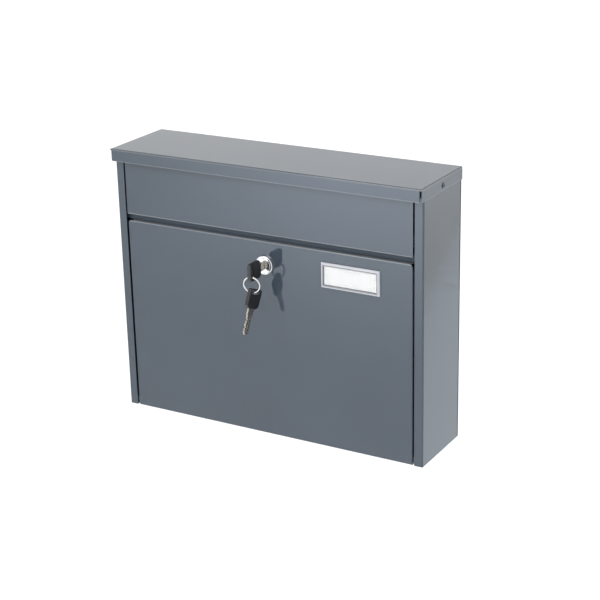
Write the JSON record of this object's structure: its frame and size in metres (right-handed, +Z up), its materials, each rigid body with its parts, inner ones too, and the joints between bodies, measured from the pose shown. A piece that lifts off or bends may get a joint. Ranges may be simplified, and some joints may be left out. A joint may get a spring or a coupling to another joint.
{
  "type": "wall mounted mailbox",
  "caption": "Wall mounted sheet-steel mailbox with a top-hinged letter flap, a drop-down front door with a cam lock and two keys, and a name holder.",
  "frame": {"origin": "centre of the four wall-screw holes, on the back face", "axes": "+X to the right, -Y out of the front (+Y into the wall), +Z up"},
  "size_m": [0.3612, 0.1251, 0.291],
  "materials": {
    "body_paint": "smooth gloss blue-grey enamel",
    "door_paint": "smooth gloss blue-grey enamel",
    "zinc_steel": "zinc plated",
    "chrome": "polished",
    "brass": "plain",
    "key_steel": "nickel plated",
    "key_plastic": "moulded, satin",
    "clear_plastic": "clear, moulded",
    "card_white": "plain",
    "rubber_black": "matte",
    "nylon": "natural",
    "spring_steel": "bright wire"
  },
  "bodies": {
    "casing": {"back_panel": "body_paint", "side_panel_right": "body_paint", "side_panel_left": "body_paint", "floor_panel": "body_paint", "lid": "body_paint", "lid_rivets": "body_paint", "strike_rail": "body_paint", "door_buffers": "rubber_black", "hinge_rivets": "zinc_steel", "hinge_washers": "nylon", "flap_rod": "spring_steel", "flap_stops": "body_paint", "flap_buffers": "rubber_black"},
    "flap": {"flap_panel": "body_paint"},
    "door": {"door_panel": "door_paint", "name_holder": "clear_plastic", "name_card": "card_white", "name_window": "clear_plastic", "lock_housing": "chrome", "lock_nut": "zinc_steel", "lock_washer": "zinc_steel"},
    "plug": {"lock_plug": "chrome", "lock_wafers": "brass", "wafer_springs": "spring_steel", "lock_cam": "zinc_steel", "cam_washer": "zinc_steel", "cam_screw": "zinc_steel"},
    "key": {"key_blade": "key_steel", "key_bow": "key_plastic"},
    "ring": {"key_ring": "spring_steel"},
    "spare_key": {"spare_key_blade": "key_steel", "spare_key_bow": "key_plastic"}
  },
  "joints": [
    {"name": "door_swing", "type": "hinge", "parent": "casing", "child": "door", "pos_m": [0, -0.079, -0.144], "axis": [1, 0, 0], "range_deg": [0, 95]},
    {"name": "flap_lift", "type": "hinge", "parent": "casing", "child": "flap", "pos_m": [0, -0.08244, 0.127], "axis": [-1, 0, 0], "range_deg": [0, 70]},
    {"name": "lock_turn", "type": "hinge", "parent": "door", "child": "plug", "pos_m": [0.001, -0.085, 0.038], "axis": [0, 1, 0], "range_deg": [0, 90]},
    {"name": "key_pull", "type": "slide", "parent": "plug", "child": "key", "axis": [0, -1, 0], "range_m": [0, 0.03]},
    {"name": "ring_swing", "type": "hinge", "parent": "key", "child": "ring", "pos_m": [0.001, -0.1124, 0.033], "axis": [0.9781, 0.2079, 0], "range_deg": [-12, 12]},
    {"name": "spare_key_swing", "type": "hinge", "parent": "ring", "child": "spare_key", "pos_m": [0.00045, -0.1098, 0.01621], "axis": [0.9781, 0.2079, 0], "range_deg": [-8, 8]}
  ]
}
